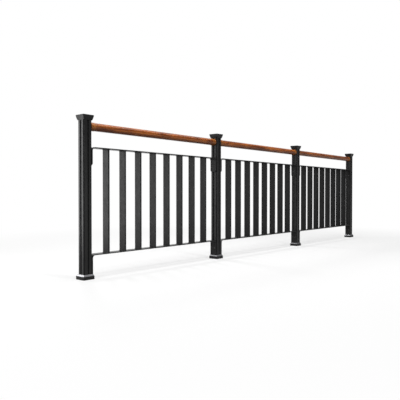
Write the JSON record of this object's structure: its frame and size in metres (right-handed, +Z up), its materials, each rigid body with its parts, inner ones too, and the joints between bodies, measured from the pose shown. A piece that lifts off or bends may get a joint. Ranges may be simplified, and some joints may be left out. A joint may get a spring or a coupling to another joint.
{
  "type": "balustrade run with flat-bar infill panels and a round wooden handrail",
  "caption": "Straight metal railing: fluted square posts with flared caps carry panels of edge-on flat bars and a round wooden handrail with turned end collars.",
  "frame": {"origin": "centre of the underside of post 1's foot plate, on the floor", "axes": "+X along the fence from post 1 to post 4, +Y through the fence away from the camera's side, +Z up"},
  "size_m": [4.486, 0.091, 1.15],
  "materials": {
    "dark_paint": "satin black powder coat",
    "bright_trim": "brushed silver",
    "wood": "varnished red-brown hardwood",
    "collar_wood": "varnished light tan wood"
  },
  "bodies": {
    "root": {"foot_plate_1": "dark_paint", "post_1": "dark_paint", "base_cover_1": "dark_paint", "base_trim_1": "bright_trim", "post_cap_1": "dark_paint", "foot_plate_2": "dark_paint", "post_2": "dark_paint", "base_cover_2": "dark_paint", "base_trim_2": "bright_trim", "post_cap_2": "dark_paint", "foot_plate_3": "dark_paint", "post_3": "dark_paint", "base_cover_3": "dark_paint", "base_trim_3": "bright_trim", "post_cap_3": "dark_paint", "foot_plate_4": "dark_paint", "post_4": "dark_paint", "base_cover_4": "dark_paint", "base_trim_4": "bright_trim", "post_cap_4": "dark_paint", "infill_panel_1": "dark_paint", "handrail_1": "wood", "collar_1_left": "collar_wood", "collar_1_right": "collar_wood", "infill_panel_2": "dark_paint", "handrail_2": "wood", "collar_2_left": "collar_wood", "collar_2_right": "collar_wood", "infill_panel_3": "dark_paint", "handrail_3": "wood", "collar_3_left": "collar_wood", "collar_3_right": "collar_wood"}
  },
  "joints": []
}
